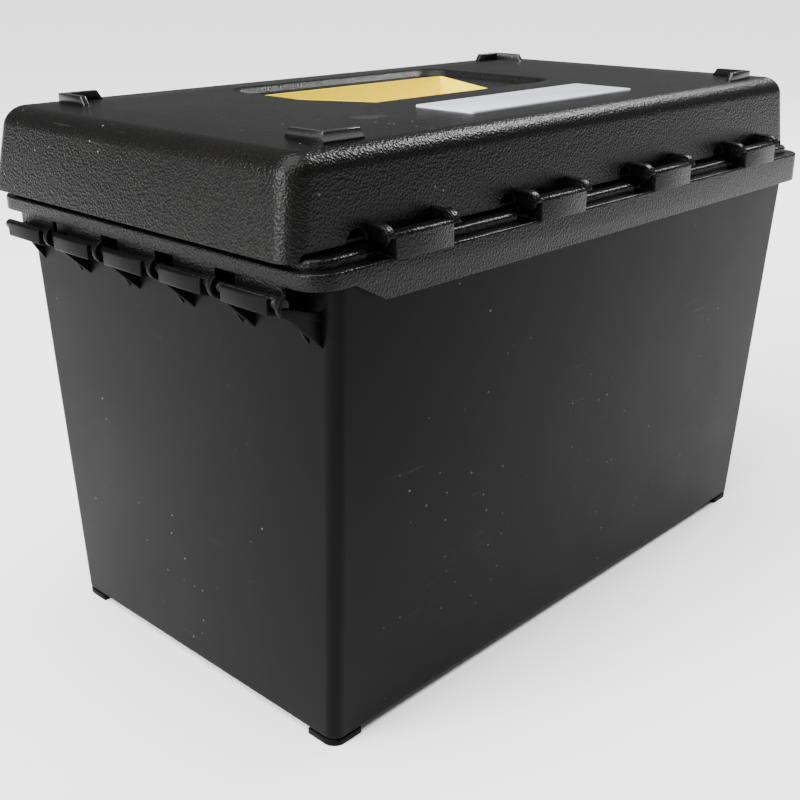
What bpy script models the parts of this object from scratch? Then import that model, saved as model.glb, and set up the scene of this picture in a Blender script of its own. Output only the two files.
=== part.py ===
"""Archery accessory box.

A deep tub carries a shallow compartment tray that swings on a knuckle rail along the tub's left end.
The tray carries a domed lid that swings on four pinned knuckles along the tray's rear side.
A yellow accessory cup and a blank label plate sit in the top of the lid.

+X runs along the box to its right end, -Y is the rear (lid hinge) side, +Z is up and the feet stand at z = 0.
Sizes are worked out about the middle of the tub. The whole box is then set with its outline centred on the
origin.
"""
import math

import bmesh
import bpy
from mathutils import Vector

# Fits shared by several pieces
seat_gap = 0.0003
pin_clearance = 0.0003
cut_overrun = 0.004
weld_overlap = 0.0008
arc_steps = 5
fine_arc_steps = 10
round_profile_share = 0.5
level_face_share = 0.9

# Tub
tub_base_length = 0.3694
tub_base_width = 0.2083
tub_end_draft_share = 0.0155
tub_side_draft_share = 0.0505
tub_wall = 0.0026
tub_floor = 0.003
tub_corner = 0.0065
tub_base_round = 0.0025
foot_height = 0.003
foot_leg = 0.018
foot_width = 0.009

# Lip, skirt and deck of the tray
lip_height = 0.232
lip_thickness = 0.0025
lip_corner = 0.013
lip_edge_round = 0.0008
skirt_wall = 0.0023
skirt_end_gap = 0.01095
skirt_side_gap = 0.0012
skirt_drop = 0.016
shallow_skirt_drop = 0.0068
skirt_cutback_inset = 0.0378
skirt_taper_run = 0.0171

# Basin of the tray and the dividers that slide into its grooves
basin_end_gap = 0.0041
basin_front_gap = 0.0071
basin_rear_gap = 0.0131
basin_depth = 0.037
basin_draft = 0.003
basin_wall = 0.002
basin_floor = 0.0022
basin_corner = 0.008
long_divider_wall = 0.0024
cross_divider_wall = 0.0016
divider_drop = 0.005
divider_groove = 0.0008
long_divider_share = 0.48
rear_divider_shares = (0.25, 0.5, 0.75)
front_divider_shares = (0.36, 0.68)

# Coaming: the raised bead around the deck that the lid closes over
coaming_height = 0.004
coaming_wall = 0.0026
coaming_end_inset = 0.0045
coaming_rear_inset = 0.0058
coaming_rear_width = 0.0115
coaming_round = 0.0018
coaming_corner = 0.011

# Lid hinge: knuckles on the tray, ears on the lid, one pin through each set
knuckle_count = 4
knuckle_length = 0.0345
knuckle_pitch_share = 0.2367
knuckle_shift = 0.0025
ear_radius = 0.0058
knuckle_brow_round = 0.0018
knuckle_top_rise = 0.0027
hinge_rise = 0.0071
pin_radius = 0.0015
ear_thickness = 0.0042
ear_web = 0.0014
ear_hood_wall = 0.0013
ear_hood_angle = math.radians(170)
ear_tongue_radius = 0.0033
ear_side_gap = 0.0004
ear_slot_length = 0.011
ear_slot_rear_inset = 0.0024
ear_slot_width = 0.0102
ear_notch_length = 0.0052
arch_radius = 0.0055

# Lid
lid_overhang = 0.0025
lid_rear_setback = 0.0122
lid_rise = 0.044
lid_groove = 0.0025
lid_rear_groove = 0.006
lid_rear_relief_gap = 0.0005
relief_round = 0.003
lid_end_taper = 0.006
lid_front_taper = 0.0075
lid_rear_taper = 0.0025
lid_corner = 0.011
lid_wall = 0.0025
lid_top_wall = 0.0028
lid_top_round = 0.0095
stop_rib_width = 0.004
stop_rib_height = 0.003

# Recess, cup opening and label pocket in the lid's top
recess_length_share = 0.4242
recess_width_share = 0.4525
recess_front_inset = 0.03225
recess_depth = 0.0035
recess_corner = 0.012
recess_slope = 0.003
recess_margin = 0.004
recess_floor = 0.0026
cup_front_inset = 0.013
cup_rear_inset = 0.007
cup_front_share = 0.952
cup_rear_share = 0.464
cup_corner = 0.004
cup_wall = 0.0014
cup_depth = 0.031
cup_flange = 0.003
label_length_share = 0.3359
label_width_share = 0.1691
label_rear_inset = 0.02435
label_thickness = 0.0012
label_sink = 0.0006
label_corner = 0.0025

# Corner bosses on the lid's top
boss_end_inset = 0.0255
boss_rear_inset = 0.01105
boss_front_inset = 0.01475
boss_arm = 0.024
boss_arm_slope = 0.0035
boss_wall = 0.003
boss_height = 0.004

# Knuckle rail along the tub's left end and the tray's hook teeth in it
rail_offset = 0.00365
rail_shift = -0.0016
rail_drop = 0.0126
rail_bore_radius = 0.0026
rail_wall = 0.0016
rail_floor_angle = math.radians(14)
rail_face_rise = 0.0026
rail_face_drop = 0.0046
rail_face_round = 0.001
rail_lip_angle = math.radians(132)
rail_knuckle_count = 5
rail_knuckle_length = 0.0286
rail_pitch_share = 0.1802
rib_thickness = 0.0024
rib_wall = 0.0023
rib_lip_angle = math.radians(106)
gusset_thickness = 0.0016
gusset_inset = 0.0004
gusset_foot_drop = 0.0211
gusset_reach = 0.0095
web_reach = 0.016
web_top_drop = 0.0007
end_wall_thickness = 0.0018
end_wall_reach = 0.0017
end_wall_height = 0.0037
bead_end_gap = 0.0005
tooth_foot_drop = 0.0018
tooth_link_height = 0.0028

# Levels and faces that follow from the sizes above
deck_underside = lip_height - lip_thickness
rim_level = deck_underside - seat_gap
rim_half_x = tub_base_length / 2 + tub_end_draft_share * rim_level
rim_half_y = tub_base_width / 2 + tub_side_draft_share * rim_level
lip_half_x = rim_half_x + skirt_end_gap + skirt_wall
lip_half_y = rim_half_y + skirt_side_gap + skirt_wall
skirt_foot = lip_height - skirt_drop
shallow_foot = lip_height - shallow_skirt_drop
divider_floor = deck_underside - basin_depth + basin_floor + seat_gap
divider_top = lip_height - divider_drop
coaming_top = lip_height + coaming_height
hinge_y = ear_radius - lip_half_y
hinge_z = lip_height + hinge_rise
knuckle_pitch = 2 * lip_half_x * knuckle_pitch_share
rail_x = -lip_half_x - rail_offset
rail_z = lip_height - rail_drop
rail_outer_radius = rail_bore_radius + rail_wall
rail_pitch = 2 * rim_half_y * rail_pitch_share
lid_bottom = lip_height + lid_groove
lid_top = lip_height + lid_rise
lid_half_x = lip_half_x + lid_overhang
lid_rear_y = lid_rear_setback - lip_half_y
lid_front_y = lip_half_y + lid_overhang
top_half_x = lid_half_x - lid_end_taper
top_rear_y = lid_rear_y + lid_rear_taper
top_front_y = lid_front_y - lid_front_taper
top_width = top_front_y - top_rear_y
recess_level = lid_top - recess_depth
recess_length = 2 * top_half_x * recess_length_share
recess_width = top_width * recess_width_share
recess_front_y = top_front_y - recess_front_inset
recess_rear_y = recess_front_y - recess_width
cup_front_width = recess_length * cup_front_share
cup_rear_width = recess_length * cup_rear_share
label_length = 2 * top_half_x * label_length_share
label_width = top_width * label_width_share
label_rear_y = top_rear_y + label_rear_inset
box_left = rail_x - rail_bore_radius - rib_wall
to_row_origin = Vector((-(box_left + lid_half_x) / 2, (lip_half_y - lid_front_y) / 2, 0))


def remove_start_objects():
    for item in list(bpy.data.objects):
        bpy.data.objects.remove(item, do_unlink=True)


remove_start_objects()
box_parts = bpy.data.collections.new("archery_accessory_box")
cutter_parts = bpy.data.collections.new("cutters")
bpy.context.scene.collection.children.link(box_parts)
bpy.context.scene.collection.children.link(cutter_parts)


def plastic(name, colour, roughness):
    material = bpy.data.materials.new(name)
    material.use_nodes = True
    shader = material.node_tree.nodes["Principled BSDF"]
    shader.inputs["Base Color"].default_value = (*colour, 1)
    shader.inputs["Roughness"].default_value = roughness
    return material


# Shapes
def rect(half_x, y_low, y_high, shift_x=0):
    return (shift_x - half_x, shift_x + half_x, y_low, y_high)


def inset(bounds, by):
    return (bounds[0] + by, bounds[1] - by, bounds[2] + by, bounds[3] - by)


def upright_edges(bm):
    return [e for e in bm.edges if abs(e.verts[0].co.z - e.verts[1].co.z) > seat_gap]


def level_edges(bm, level):
    return [e for e in bm.edges if all(abs(v.co.z - level) < seat_gap for v in e.verts)
            and len([f for f in e.link_faces if abs(f.normal.z) < level_face_share]) == 1]


def round_edges(bm, edges, radius, steps):
    bmesh.ops.bevel(bm, geom=edges, offset=radius, offset_type="OFFSET", segments=steps,
                    profile=round_profile_share, affect="EDGES", clamp_overlap=True)


def tapered_block(bm, low, high, z_low, z_high, corner=0, steps=arc_steps):
    """A block whose upper outline may differ from its lower one, with its upright edges rounded."""
    made = bmesh.ops.create_cube(bm, size=1)["verts"]
    for vert in made:
        bounds = high if vert.co.z > 0 else low
        vert.co = Vector((bounds[0] if vert.co.x < 0 else bounds[1],
                          bounds[2] if vert.co.y < 0 else bounds[3],
                          z_high if vert.co.z > 0 else z_low))
    if corner:
        edges = [e for e in upright_edges(bm) if e.verts[0] in made]
        round_edges(bm, edges, corner, steps)


def block(bm, bounds, z_low, z_high, corner=0):
    tapered_block(bm, bounds, bounds, z_low, z_high, corner)


def arc(centre, radius, start, end, steps=fine_arc_steps):
    return [(centre[0] + radius * math.cos(start + (end - start) * i / steps),
             centre[1] + radius * math.sin(start + (end - start) * i / steps)) for i in range(steps + 1)]


def prism(bm, outline, along, start, end):
    """An outline in the plane across the named axis, pushed from start to end along it."""
    place = {"X": lambda u, v: (start, u, v),
             "Y": lambda u, v: (u, start, v),
             "Z": lambda u, v: (u, v, start)}
    push = {"X": Vector((end - start, 0, 0)),
            "Y": Vector((0, end - start, 0)),
            "Z": Vector((0, 0, end - start))}
    verts = [bm.verts.new(place[along](u, v)) for u, v in outline]
    face = bm.faces.new(verts)
    made = bmesh.ops.extrude_face_region(bm, geom=[face])["geom"]
    moved = [g for g in made if isinstance(g, bmesh.types.BMVert)]
    bmesh.ops.translate(bm, verts=moved, vec=push[along])


def rod(bm, along, start, end, centre, radius, steps=4 * arc_steps):
    prism(bm, arc(centre, radius, 0, 2 * math.pi * (steps - 1) / steps, steps - 1), along, start, end)


def turn(angle):
    return (math.cos(angle), math.sin(angle))


# Objects
def solid(name, bm, collection, origin=(0, 0, 0), material=None):
    bmesh.ops.recalc_face_normals(bm, faces=bm.faces)
    bmesh.ops.translate(bm, verts=bm.verts, vec=-Vector(origin))
    mesh = bpy.data.meshes.new(name)
    bm.to_mesh(mesh)
    bm.free()
    item = bpy.data.objects.new(name, mesh)
    item.location = origin
    collection.objects.link(item)
    if material:
        mesh.materials.append(material)
    return item


def shape(target, name, bm, operation):
    """Adds to or cuts from the target with a tool body kept in the cutters collection."""
    tool = solid(name, bm, cutter_parts)
    tool.display_type = "WIRE"
    tool.hide_render = True
    step = target.modifiers.new(name, "BOOLEAN")
    step.operation = operation
    step.solver = "EXACT"
    step.object = tool


def add(target, name, bm):
    shape(target, name, bm, "UNION")


def cut(target, name, bm):
    shape(target, name, bm, "DIFFERENCE")


def tub_outline(level, inward=0):
    half_x = tub_base_length / 2 + tub_end_draft_share * level - inward
    half_y = tub_base_width / 2 + tub_side_draft_share * level - inward
    return rect(half_x, -half_y, half_y)


def rail_places(count):
    return [rail_shift + rail_pitch * (i - (count - 1) / 2) for i in range(count)]


def knuckle_starts():
    return [knuckle_shift + knuckle_pitch * (i - (knuckle_count - 1) / 2) - knuckle_length / 2
            for i in range(knuckle_count)]


# Tub
def rail_floor_line(radius, at_x):
    """Height at at_x of the sloping rail floor that is tangent to a circle about the hinge axis."""
    normal = turn(-math.pi / 2 - rail_floor_angle)
    touch = (rail_x + radius * normal[0], rail_z + radius * normal[1])
    return touch[1] - (at_x - touch[0]) * math.tan(rail_floor_angle)


def rail_trough_section():
    """Outline of a trough: a flat outer face, a round bore about the axis and a sloping floor."""
    tangent = 1.5 * math.pi - rail_floor_angle
    wall_x = weld_overlap - rim_half_x
    face_x = rail_x - rail_outer_radius
    brow = (face_x + rail_face_round, rail_z + rail_face_rise - rail_face_round)
    heel = (face_x + rail_face_round, rail_z - rail_face_drop + rail_face_round)
    points = arc(brow, rail_face_round, math.pi / 2, math.pi, arc_steps)
    points += arc(heel, rail_face_round, math.pi, tangent, arc_steps)
    points += [(wall_x, rail_underside(wall_x)), (wall_x, rail_floor_line(rail_bore_radius, wall_x))]
    return points + arc((rail_x, rail_z), rail_bore_radius, tangent, rail_lip_angle)


def rail_underside(at_x):
    """Height at at_x of the underside of the troughs' floor, which slopes down to the tub's wall."""
    heel_x = rail_x - rail_outer_radius + rail_face_round
    return rail_z - rail_face_drop - (at_x - heel_x) * math.tan(rail_floor_angle)


def rail_rib_section():
    """Outline of a hook rib: a ring about the axis that runs down into a web on the tub's wall."""
    tangent = 1.5 * math.pi - rail_floor_angle
    wall_x = weld_overlap - rim_half_x
    web_x = -rim_half_x - web_reach
    points = arc((rail_x, rail_z), rail_bore_radius + rib_wall, rib_lip_angle, tangent)
    points += [(web_x, rail_underside(web_x)), (wall_x, rail_z - gusset_foot_drop)]
    points += [(wall_x, rail_floor_line(rail_bore_radius, wall_x) - web_top_drop)]
    return points + arc((rail_x, rail_z), rail_bore_radius, tangent, rib_lip_angle)


def rail_troughs():
    bm = bmesh.new()
    for middle in rail_places(rail_knuckle_count):
        start = middle - rail_knuckle_length / 2
        prism(bm, rail_trough_section(), "Y", start, start + rail_knuckle_length)
    return bm


def rail_ribs():
    """One hook rib on the near side of every trough."""
    bm = bmesh.new()
    for middle in rail_places(rail_knuckle_count + 1)[:-1]:
        start = middle - rib_thickness / 2
        prism(bm, rail_rib_section(), "Y", start, start + rib_thickness)
    return bm


def rail_gussets():
    """A small gusset under the near edge of every trough, and one beyond the last trough."""
    bm = bmesh.new()
    wall_x = weld_overlap - rim_half_x
    reach_x = wall_x - gusset_reach
    top = rail_wall / 2
    outline = [(reach_x, rail_underside(reach_x) + top), (wall_x, rail_z - gusset_foot_drop),
               (wall_x, rail_underside(wall_x) + top)]
    places = [middle - rail_knuckle_length / 2 + gusset_inset for middle in rail_places(rail_knuckle_count)]
    places.append(rail_places(rail_knuckle_count + 1)[-1])
    for place in places:
        prism(bm, outline, "Y", place, place + gusset_thickness)
    return bm


def rail_end_wall():
    """A narrow wall that closes the near end of the rail and runs in to the tub's corner."""
    bm = bmesh.new()
    wall_x = weld_overlap - rim_half_x
    outer_x = rail_x - rail_outer_radius
    far = rail_shift - rail_pitch * rail_knuckle_count / 2 - end_wall_reach
    outline = [(outer_x, rail_z), (outer_x, rail_z - end_wall_height),
               (wall_x, rail_underside(wall_x)), (wall_x, rail_underside(wall_x) + end_wall_height)]
    prism(bm, outline, "Y", far, far + end_wall_thickness)
    return bm


def tub_feet(tub):
    """Each foot is an L-shaped skid under a corner of the floor."""
    base = tub_outline(0)
    bm = bmesh.new()
    block(bm, inset(base, 0), 0, foot_height + weld_overlap, tub_corner)
    add(tub, "tub_feet", bm)
    bm = bmesh.new()
    across = (base[0] + foot_leg, base[1] - foot_leg, base[2] - cut_overrun, base[3] + cut_overrun)
    along = (base[0] - cut_overrun, base[1] + cut_overrun, base[2] + foot_leg, base[3] - foot_leg)
    block(bm, across, -cut_overrun, foot_height)
    cut(tub, "tub_feet_gap_across", bm)
    bm = bmesh.new()
    block(bm, along, -cut_overrun, foot_height)
    cut(tub, "tub_feet_gap_along", bm)
    bm = bmesh.new()
    block(bm, inset(base, foot_width), -cut_overrun, foot_height)
    cut(tub, "tub_feet_hollow", bm)


def make_tub(material):
    bm = bmesh.new()
    tapered_block(bm, tub_outline(foot_height), tub_outline(rim_level), foot_height, rim_level, tub_corner)
    round_edges(bm, level_edges(bm, foot_height), tub_base_round, arc_steps)
    tub = solid("tub", bm, box_parts, material=material)
    add(tub, "rail_troughs", rail_troughs())
    add(tub, "rail_ribs", rail_ribs())
    add(tub, "rail_gussets", rail_gussets())
    add(tub, "rail_end_wall", rail_end_wall())
    tub_feet(tub)
    bm = bmesh.new()
    floor = foot_height + tub_floor
    over = rim_level + cut_overrun
    tapered_block(bm, tub_outline(floor, tub_wall), tub_outline(over, tub_wall), floor, over,
                  tub_corner - tub_wall)
    cut(tub, "tub_hollow", bm)
    return tub


# Compartment tray
def skirt_cutback():
    """The skirt is cut back to a shallow flange toward the knuckle rail, with a sloping end on each side."""
    bm = bmesh.new()
    deep_x = skirt_cutback_inset - lip_half_x
    shallow_x = deep_x - skirt_taper_run
    out_x = -lip_half_x - cut_overrun
    under = skirt_foot - cut_overrun
    outline = [(deep_x, under), (deep_x, skirt_foot), (shallow_x, shallow_foot), (out_x, shallow_foot),
               (out_x, under)]
    prism(bm, outline, "Y", -lip_half_y - cut_overrun, lip_half_y + cut_overrun)
    return bm


def hook_teeth():
    """Teeth that drop from the flange into the rail, each with a link out to the hinge bead."""
    bm = bmesh.new()
    outer_x = -lip_half_x
    inner_x = outer_x + skirt_wall
    foot = rail_z - tooth_foot_drop
    outline = [(outer_x, shallow_foot + weld_overlap), (outer_x, foot + tooth_link_height),
               (rail_x, foot + tooth_link_height),
               (rail_x, foot), (inner_x, foot), (inner_x, shallow_foot + weld_overlap)]
    for middle in rail_places(rail_knuckle_count):
        start = middle - rail_knuckle_length / 2
        prism(bm, outline, "Y", start, start + rail_knuckle_length)
    return bm


def hinge_bead():
    bm = bmesh.new()
    half = rail_pitch * rail_knuckle_count / 2 + end_wall_reach - end_wall_thickness - bead_end_gap
    rod(bm, "Y", rail_shift - half, rail_shift + half, (rail_x, rail_z), rail_bore_radius - pin_clearance)
    return bm


def lid_knuckles():
    """Upright knuckles, flush with the skirt below, flat on top and round behind the lid's hinge axis."""
    bm = bmesh.new()
    foot = lip_height - lip_thickness / 2
    front_y = hinge_y - ear_radius
    brow = (front_y + knuckle_brow_round, hinge_z + knuckle_top_rise - knuckle_brow_round)
    outline = arc(brow, knuckle_brow_round, math.pi, math.pi / 2, arc_steps)
    outline += arc((hinge_y, hinge_z), knuckle_top_rise, math.pi / 2, 0)
    outline += [(hinge_y + knuckle_top_rise, foot), (front_y, foot)]
    for start in knuckle_starts():
        prism(bm, outline, "X", start, start + knuckle_length)
    return bm


def basin_outline(level, inward=0):
    narrowing = basin_draft * (deck_underside - level) / basin_depth
    mouth = inset(rect(rim_half_x, -rim_half_y, rim_half_y), tub_wall + narrowing + inward)
    return (mouth[0] + basin_end_gap, mouth[1] - basin_end_gap,
            mouth[2] + basin_rear_gap, mouth[3] - basin_front_gap)


def divider_blocks(into_wall, thicker, floor, top):
    """Bounds at both levels of each divider: the long one, the rear ones, the front ones."""
    low = basin_outline(floor, basin_wall - into_wall)
    high = basin_outline(top, basin_wall - into_wall)
    long_y = low[2] + (low[3] - low[2]) * long_divider_share
    half_long = long_divider_wall / 2 + thicker
    half_cross = cross_divider_wall / 2 + thicker
    reach = long_divider_wall / 2 - into_wall
    along = (long_y - half_long, long_y + half_long)
    blocks = [(low[:2] + along, high[:2] + along)]
    for share in rear_divider_shares:
        middle = low[0] + (low[1] - low[0]) * share
        across = (middle - half_cross, middle + half_cross)
        blocks.append((across + (low[2], long_y - reach), across + (high[2], long_y - reach)))
    for share in front_divider_shares:
        middle = low[0] + (low[1] - low[0]) * share
        across = (middle - half_cross, middle + half_cross)
        blocks.append((across + (long_y + reach, low[3]), across + (long_y + reach, high[3])))
    return blocks


def cut_divider_grooves(item, numbers, name):
    foot = divider_floor - seat_gap
    over = lip_height + cut_overrun
    blocks = divider_blocks(divider_groove, seat_gap, foot, over)
    for number in numbers:
        bm = bmesh.new()
        low, high = blocks[number]
        tapered_block(bm, low, high, foot, over)
        cut(item, f"{name}_{number}", bm)


def make_dividers(material):
    """A long divider along the basin and cross dividers between it and the basin's walls, each in grooves."""
    blocks = divider_blocks(divider_groove - seat_gap, 0, divider_floor, divider_top)
    names = ["long_divider"]
    names += [f"rear_divider_{i + 1}" for i in range(len(rear_divider_shares))]
    names += [f"front_divider_{i + 1}" for i in range(len(front_divider_shares))]
    dividers = []
    for name, (low, high) in zip(names, blocks):
        bm = bmesh.new()
        tapered_block(bm, low, high, divider_floor, divider_top)
        middle = ((low[0] + low[1]) / 2, (low[2] + low[3]) / 2, divider_floor)
        dividers.append(solid(name, bm, box_parts, middle, material))
    cut_divider_grooves(dividers[0], range(1, len(blocks)), "long_divider_groove")
    return dividers


def coaming_outline():
    half_x = lip_half_x - coaming_end_inset
    return (-half_x, half_x, coaming_rear_inset - lip_half_y, lip_half_y - skirt_wall)


def make_tray(material):
    lip = rect(lip_half_x, -lip_half_y, lip_half_y)
    bm = bmesh.new()
    block(bm, lip, skirt_foot, lip_height, lip_corner)
    round_edges(bm, level_edges(bm, lip_height), lip_edge_round, 2)
    tray = solid("compartment_tray", bm, box_parts, (rail_x, 0, rail_z), material)
    bm = bmesh.new()
    block(bm, inset(lip, skirt_wall), skirt_foot - cut_overrun, deck_underside, lip_corner - skirt_wall)
    cut(tray, "skirt_hollow", bm)
    cut(tray, "skirt_cutback", skirt_cutback())
    bm = bmesh.new()
    block(bm, coaming_outline(), lip_height - weld_overlap, coaming_top, coaming_corner)
    round_edges(bm, level_edges(bm, coaming_top), coaming_round, arc_steps)
    add(tray, "coaming", bm)
    bm = bmesh.new()
    low = deck_underside - basin_depth
    tapered_block(bm, basin_outline(low), basin_outline(deck_underside), low, deck_underside + weld_overlap,
                  basin_corner)
    add(tray, "basin", bm)
    bm = bmesh.new()
    outline = coaming_outline()
    inner = (outline[0] + coaming_wall, outline[1] - coaming_wall,
             outline[2] + coaming_rear_width, outline[3] - coaming_wall)
    block(bm, inner, lip_height, coaming_top + cut_overrun, coaming_corner - coaming_wall)
    cut(tray, "coaming_hollow", bm)
    bm = bmesh.new()
    floor = low + basin_floor
    over = lip_height + cut_overrun
    tapered_block(bm, basin_outline(floor, basin_wall), basin_outline(over, basin_wall), floor, over,
                  basin_corner - basin_wall)
    cut(tray, "basin_hollow", bm)
    divider_count = 1 + len(rear_divider_shares) + len(front_divider_shares)
    cut_divider_grooves(tray, range(divider_count), "divider_groove")
    bm = bmesh.new()
    for start in knuckle_starts():
        rear = -lip_half_y - cut_overrun
        notch_y = coaming_outline()[2] + ear_radius + lip_thickness / 2
        end = start + knuckle_length
        over = coaming_top + cut_overrun
        block(bm, (start - ear_notch_length, start + weld_overlap, rear, notch_y), lip_height, over)
        block(bm, (end - weld_overlap, end + ear_notch_length, rear, notch_y), lip_height, over)
    cut(tray, "ear_notches", bm)
    bm = bmesh.new()
    slot_y = ear_slot_rear_inset - lip_half_y
    for start in knuckle_starts():
        bounds = (start - ear_slot_length, start - seat_gap, slot_y, slot_y + ear_slot_width)
        block(bm, bounds, skirt_foot, coaming_top + cut_overrun)
    cut(tray, "ear_slots", bm)
    add(tray, "lid_knuckles", lid_knuckles())
    add(tray, "hook_teeth", hook_teeth())
    add(tray, "hinge_bead", hinge_bead())
    bm = bmesh.new()
    for start in knuckle_starts():
        rod(bm, "X", start - cut_overrun / 2, start + knuckle_length + cut_overrun / 2, (hinge_y, hinge_z),
            pin_radius + pin_clearance)
    cut(tray, "knuckle_bores", bm)
    return tray


# Lid
def lid_outline(level, inward=0):
    share = (level - lid_bottom) / (lid_top - lid_bottom)
    half_x = lid_half_x - lid_end_taper * share - inward
    return (-half_x, half_x,
            lid_rear_y + lid_rear_taper * share + inward, lid_front_y - lid_front_taper * share - inward)


def stop_rib(lid):
    """A step inside the lid that rests on the coaming."""
    foot = coaming_top + seat_gap
    top = foot + stop_rib_height
    bm = bmesh.new()
    block(bm, lid_outline(top, lid_wall / 2), foot, top, lid_corner - lid_wall / 2)
    add(lid, "stop_rib", bm)


def cup_opening(inward=0):
    """Keystone outline of the cup, wide toward the front of the lid."""
    rear_y = recess_rear_y + cup_rear_inset + inward
    front_y = recess_front_y - cup_front_inset - inward
    lean = (cup_front_width - cup_rear_width) / 2 / (recess_width - cup_front_inset - cup_rear_inset)
    side = inward * math.hypot(1, lean)
    front_half = cup_front_width / 2 - side - lean * inward
    rear_half = cup_rear_width / 2 - side + lean * inward
    return [(-rear_half, rear_y), (rear_half, rear_y), (front_half, front_y), (-front_half, front_y)]


def cup_block(bm, inward, low, high, corner):
    before = set(bm.edges)
    prism(bm, cup_opening(inward), "Z", low, high)
    made = [e for e in bm.edges if e not in before and abs(e.verts[0].co.z - e.verts[1].co.z) > seat_gap]
    round_edges(bm, made, corner, arc_steps)


def corner_bosses():
    """L-shaped locating bosses whose arms slope down at the ends."""
    bm = bmesh.new()
    foot = lid_top - weld_overlap
    top = lid_top + boss_height
    for side_x in (-1, 1):
        for side_y in (-1, 1):
            corner_y = top_front_y - boss_front_inset if side_y > 0 else top_rear_y + boss_rear_inset
            corner = Vector((side_x * (top_half_x - boss_end_inset), corner_y, 0))
            arms = [(0, 0), (boss_arm, 0), (boss_arm, boss_wall), (boss_wall, boss_wall),
                    (boss_wall, boss_arm), (0, boss_arm)]
            made = set(bm.verts)
            prism(bm, [(corner.x - side_x * u, corner.y - side_y * v) for u, v in arms], "Z", foot, top)
            for vert in bm.verts:
                if vert not in made and abs(vert.co.z - top) < seat_gap:
                    if abs(vert.co.x - corner.x) > boss_arm - seat_gap:
                        vert.co.x += side_x * boss_arm_slope
                    if abs(vert.co.y - corner.y) > boss_arm - seat_gap:
                        vert.co.y += side_y * boss_arm_slope
    return bm


def lid_ears():
    """Thin tongues around the hinge axis under hoods, one at each end of a knuckle, on the rear wall."""
    bm = bmesh.new()
    wall_y = lid_rear_y + lid_wall / 2
    wall_foot = lip_height + lid_rear_groove + weld_overlap
    outline = arc((hinge_y, hinge_z), ear_radius, math.pi / 2, ear_hood_angle)
    outline += arc((hinge_y, hinge_z), ear_tongue_radius, ear_hood_angle, 1.5 * math.pi)
    outline += [(wall_y, wall_foot), (wall_y, hinge_z + ear_radius)]
    for start in knuckle_starts():
        near = start - ear_side_gap
        far = start + knuckle_length + ear_side_gap
        prism(bm, outline, "X", near - ear_thickness, near)
        prism(bm, outline, "X", far, far + ear_thickness)
    return bm


def ear_hollows():
    """Outboard of its tongue each ear is only a thin hood that is open toward the lid, the end and below."""
    bm = bmesh.new()
    inner = ear_radius - ear_hood_wall
    foot = hinge_z - ear_radius - cut_overrun
    outline = arc((hinge_y, hinge_z), inner, math.pi / 2, 1.25 * math.pi)
    outline += [(outline[-1][0], foot),
                (lid_rear_y + lid_wall + lid_wall, foot), (lid_rear_y + lid_wall + lid_wall, hinge_z + inner)]
    for start in knuckle_starts():
        near = start - ear_side_gap - ear_web
        far = start + knuckle_length + ear_side_gap + ear_web
        prism(bm, outline, "X", near - ear_thickness, near)
        prism(bm, outline, "X", far, far + ear_thickness)
    return bm


def rear_arches():
    """Half-round cut-outs in the rear wall's lower edge, outboard of each ear."""
    bm = bmesh.new()
    level = lip_height + lid_rear_groove
    for start in knuckle_starts():
        near = start - ear_side_gap - ear_thickness - arch_radius
        far = start + knuckle_length + ear_side_gap + ear_thickness + arch_radius
        for middle in (near, far):
            outline = arc((middle, level), arch_radius, 0, math.pi)
            outline.append((middle - arch_radius, level - cut_overrun))
            outline.append((middle + arch_radius, level - cut_overrun))
            prism(bm, outline, "Y", lid_rear_y - cut_overrun, lid_rear_y + lid_wall + lid_wall)
    return bm


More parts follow.
